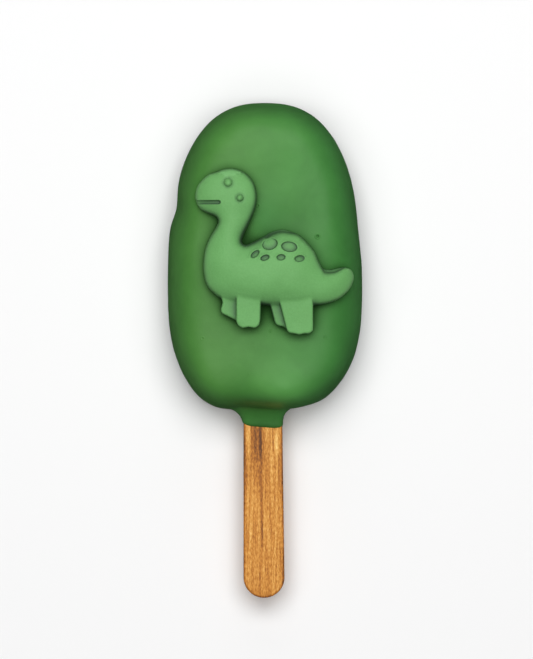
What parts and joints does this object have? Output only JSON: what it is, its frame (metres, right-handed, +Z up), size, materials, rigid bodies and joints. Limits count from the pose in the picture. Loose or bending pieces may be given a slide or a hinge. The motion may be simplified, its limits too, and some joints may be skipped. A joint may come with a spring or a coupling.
{
  "type": "cakesicle",
  "caption": "Oval coated cake on a flat wooden stick, lying face up on its flat back, with a moulded long-necked dinosaur on its face.",
  "frame": {"origin": "on the surface it lies on, under the middle of the whole length and width", "axes": "+Y from the stick's free end towards the cake's round end, +Z up out of the decorated face, +X to the right of the face, on the side of the dinosaur's tail"},
  "size_m": [0.0474, 0.1206, 0.0293],
  "materials": {
    "coating": "satin poured sweet coating, mid green",
    "figure": "matte moulded sweet paste, lighter green",
    "wood": "bare birch, warm brown with darker streaks along the grain"
  },
  "bodies": {
    "root": {"coated_cake": "coating", "dinosaur": "figure", "stick": "wood"}
  },
  "joints": []
}
